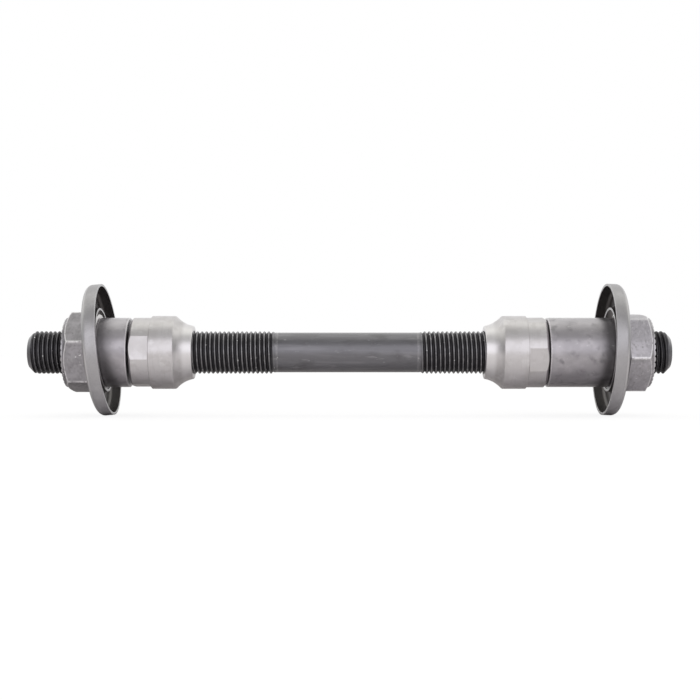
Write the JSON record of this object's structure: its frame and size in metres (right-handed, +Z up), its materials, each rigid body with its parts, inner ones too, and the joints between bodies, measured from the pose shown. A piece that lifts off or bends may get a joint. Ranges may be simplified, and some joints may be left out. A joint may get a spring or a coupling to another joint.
{
  "type": "bicycle hub axle",
  "caption": "Hollow threaded rear hub axle with bearing cones, spacer sleeves, washers, dust caps and hexagonal lock nuts, loosely assembled.",
  "frame": {"origin": "the middle of the axle, on its axis", "axes": "+X along the axle towards the end with the long spacer, +Z up as it lies in the picture, +Y away from the viewer"},
  "size_m": [0.14, 0.0288, 0.0289],
  "materials": {
    "black_steel": "black oxide steel, satin",
    "ground_steel": "bright ground steel, satin",
    "sleeve_steel": "grey zinc on steel, slightly mottled",
    "washer_steel": "bright zinc on steel",
    "cap_steel": "grey zinc on pressed sheet steel",
    "nut_steel": "grey zinc on steel, worn bright at the edges"
  },
  "bodies": {
    "axle": {"axle": "black_steel", "left_spacer": "sleeve_steel", "right_spacer": "sleeve_steel", "left_washer": "washer_steel", "right_washer": "washer_steel"},
    "left_cone": {"left_cone": "ground_steel"},
    "right_cone": {"right_cone": "ground_steel"},
    "left_lock_nut": {"left_lock_nut": "nut_steel"},
    "right_lock_nut": {"right_lock_nut": "nut_steel"},
    "left_dust_cap": {"left_dust_cap": "cap_steel"},
    "right_dust_cap": {"right_dust_cap": "cap_steel"}
  },
  "joints": [
    {"name": "left_cone_screws_in", "type": "slide", "parent": "axle", "child": "left_cone", "axis": [1, 0, 0], "range_m": [0, 0.017]},
    {"name": "right_cone_screws_in", "type": "slide", "parent": "axle", "child": "right_cone", "axis": [-1, 0, 0], "range_m": [0, 0.0133]},
    {"name": "left_nut_screws_out", "type": "slide", "parent": "axle", "child": "left_lock_nut", "axis": [-1, 0, 0], "range_m": [0, 0.0081]},
    {"name": "right_nut_screws_out", "type": "slide", "parent": "axle", "child": "right_lock_nut", "axis": [1, 0, 0], "range_m": [0, 0.00445]},
    {"name": "left_cap_slides_in", "type": "slide", "parent": "axle", "child": "left_dust_cap", "axis": [1, 0, 0], "range_m": [0, 0.0089]},
    {"name": "right_cap_slides_in", "type": "slide", "parent": "axle", "child": "right_dust_cap", "axis": [-1, 0, 0], "range_m": [0, 0.0172]}
  ]
}
